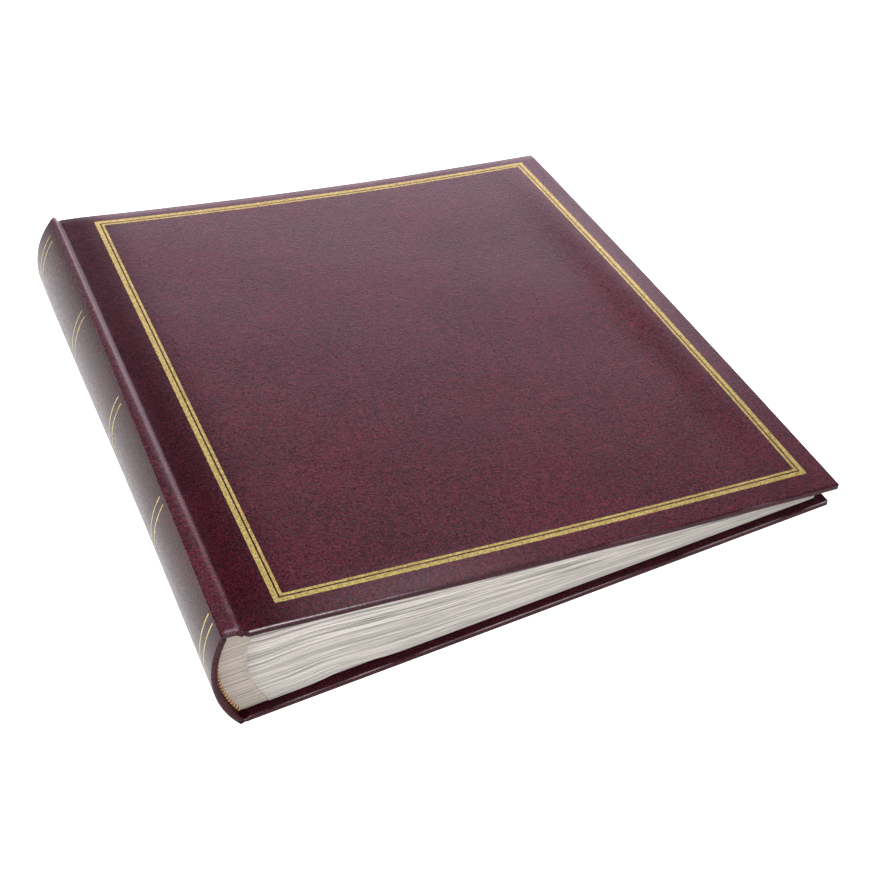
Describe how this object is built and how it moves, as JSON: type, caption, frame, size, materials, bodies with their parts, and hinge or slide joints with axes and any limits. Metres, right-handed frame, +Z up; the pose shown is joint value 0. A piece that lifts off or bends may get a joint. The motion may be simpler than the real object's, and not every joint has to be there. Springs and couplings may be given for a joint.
{
  "type": "stamp album",
  "caption": "Case-bound album for stamps with hinged covers, a rounded spine, and leaves and interleaves that fan from folded guards.",
  "frame": {"origin": "middle of the closed album's footprint, on the surface it lies on", "axes": "+X from the spine to the fore edge, +Y from tail to head, +Z up through the front cover"},
  "size_m": [0.2988, 0.32, 0.0549],
  "materials": {
    "leatherette": "grained burgundy leatherette, satin",
    "grey_board": "solid grey board, matt",
    "endpaper": "off-white endpaper, matt",
    "album_page": "cream album leaf, matt",
    "glassine": "glassine, slightly glossy",
    "guard_paper": "folded paper guards, matt",
    "gauze": "woven cotton",
    "headband_thread": "gold and burgundy stitched thread",
    "gold_foil": "hot-stamped gold foil, speckled"
  },
  "bodies": {
    "back_cover": {"back_board": "grey_board", "back_covering": "leatherette", "back_pastedown": "endpaper", "back_joint_cloth": "leatherette"},
    "spine": {"spine_stiffener": "grey_board", "spine_covering": "leatherette", "spine_gold_bands": "gold_foil", "mull_lining": "gauze", "sewing_tapes": "gauze", "guard_strips": "guard_paper", "head_headband": "headband_thread", "tail_headband": "headband_thread"},
    "front_joint": {"front_joint_cloth": "leatherette"},
    "front_cover": {"front_board": "grey_board", "front_covering": "leatherette", "front_pastedown": "endpaper", "front_gold_line_outer": "gold_foil", "front_gold_line_inner": "gold_foil"},
    "front_flyleaf_body": {"front_flyleaf": "endpaper"},
    "section_01": {"leaf_01": "album_page", "leaf_02": "album_page", "leaf_03": "album_page", "interleaves_01": "glassine"},
    "section_02": {"leaf_04": "album_page", "leaf_05": "album_page", "leaf_06": "album_page", "interleaves_02": "glassine"},
    "section_03": {"leaf_07": "album_page", "leaf_08": "album_page", "leaf_09": "album_page", "interleaves_03": "glassine"},
    "section_04": {"leaf_10": "album_page", "leaf_11": "album_page", "leaf_12": "album_page", "interleaves_04": "glassine"},
    "section_05": {"leaf_13": "album_page", "leaf_14": "album_page", "leaf_15": "album_page", "interleaves_05": "glassine"},
    "section_06": {"leaf_16": "album_page", "leaf_17": "album_page", "leaf_18": "album_page", "interleaves_06": "glassine"},
    "section_07": {"leaf_19": "album_page", "leaf_20": "album_page", "leaf_21": "album_page", "interleaves_07": "glassine"},
    "section_08": {"leaf_22": "album_page", "leaf_23": "album_page", "leaf_24": "album_page", "interleaves_08": "glassine"},
    "section_09": {"leaf_25": "album_page", "leaf_26": "album_page", "leaf_27": "album_page", "interleaves_09": "glassine"},
    "section_10": {"leaf_28": "album_page", "leaf_29": "album_page", "leaf_30": "album_page", "interleaves_10": "glassine"},
    "back_flyleaf_body": {"back_flyleaf": "endpaper"}
  },
  "joints": [
    {"name": "back_cover_hinge", "type": "hinge", "parent": "back_cover", "child": "spine", "pos_m": [-0.14184, 0, 0], "axis": [0, -1, 0], "range_deg": [0, 90]},
    {"name": "front_joint_fold", "type": "hinge", "parent": "spine", "child": "front_joint", "pos_m": [-0.14184, 0, 0.0548], "axis": [0, -1, 0], "range_deg": [0, 70]},
    {"name": "front_cover_hinge", "type": "hinge", "parent": "front_joint", "child": "front_cover", "pos_m": [-0.13054, 0, 0.0547], "axis": [0, -1, 0], "range_deg": [0, 180]},
    {"name": "front_flyleaf_turn", "type": "hinge", "parent": "spine", "child": "front_flyleaf_body", "pos_m": [-0.12764, 0, 0.04938], "axis": [0, -1, 0], "range_deg": [0, 67.2]},
    {"name": "section_01_turn", "type": "hinge", "parent": "spine", "child": "section_01", "pos_m": [-0.12865, 0, 0.04722], "axis": [0, -1, 0], "range_deg": [0, 63]},
    {"name": "section_02_turn", "type": "hinge", "parent": "spine", "child": "section_02", "pos_m": [-0.13038, 0, 0.04266], "axis": [0, -1, 0], "range_deg": [0, 56.7]},
    {"name": "section_03_turn", "type": "hinge", "parent": "spine", "child": "section_03", "pos_m": [-0.13162, 0, 0.0381], "axis": [0, -1, 0], "range_deg": [0, 50.4]},
    {"name": "section_04_turn", "type": "hinge", "parent": "spine", "child": "section_04", "pos_m": [-0.13241, 0, 0.03354], "axis": [0, -1, 0], "range_deg": [0, 44.1]},
    {"name": "section_05_turn", "type": "hinge", "parent": "spine", "child": "section_05", "pos_m": [-0.13276, 0, 0.02898], "axis": [0, -1, 0], "range_deg": [0, 37.8]},
    {"name": "section_06_turn", "type": "hinge", "parent": "spine", "child": "section_06", "pos_m": [-0.1327, 0, 0.02442], "axis": [0, -1, 0], "range_deg": [0, 31.5]},
    {"name": "section_07_turn", "type": "hinge", "parent": "spine", "child": "section_07", "pos_m": [-0.13221, 0, 0.01986], "axis": [0, -1, 0], "range_deg": [0, 25.2]},
    {"name": "section_08_turn", "type": "hinge", "parent": "spine", "child": "section_08", "pos_m": [-0.13129, 0, 0.0153], "axis": [0, -1, 0], "range_deg": [0, 18.9]},
    {"name": "section_09_turn", "type": "hinge", "parent": "spine", "child": "section_09", "pos_m": [-0.1299, 0, 0.01074], "axis": [0, -1, 0], "range_deg": [0, 12.6]},
    {"name": "section_10_turn", "type": "hinge", "parent": "spine", "child": "section_10", "pos_m": [-0.12801, 0, 0.00618], "axis": [0, -1, 0], "range_deg": [0, 6.3]},
    {"name": "back_flyleaf_turn", "type": "hinge", "parent": "spine", "child": "back_flyleaf_body", "pos_m": [-0.12669, 0, 0.0036], "axis": [0, -1, 0], "range_deg": [-45, 0]}
  ],
  "couplings": [
    {"joint": "front_flyleaf_turn", "follows": "front_joint_fold", "ratio": 0.96},
    {"joint": "section_01_turn", "follows": "front_joint_fold", "ratio": 0.9},
    {"joint": "section_02_turn", "follows": "front_joint_fold", "ratio": 0.81},
    {"joint": "section_03_turn", "follows": "front_joint_fold", "ratio": 0.72},
    {"joint": "section_04_turn", "follows": "front_joint_fold", "ratio": 0.63},
    {"joint": "section_05_turn", "follows": "front_joint_fold", "ratio": 0.54},
    {"joint": "section_06_turn", "follows": "front_joint_fold", "ratio": 0.45},
    {"joint": "section_07_turn", "follows": "front_joint_fold", "ratio": 0.36},
    {"joint": "section_08_turn", "follows": "front_joint_fold", "ratio": 0.27},
    {"joint": "section_09_turn", "follows": "front_joint_fold", "ratio": 0.18},
    {"joint": "section_10_turn", "follows": "front_joint_fold", "ratio": 0.09},
    {"joint": "back_flyleaf_turn", "follows": "back_cover_hinge", "ratio": -0.5}
  ]
}
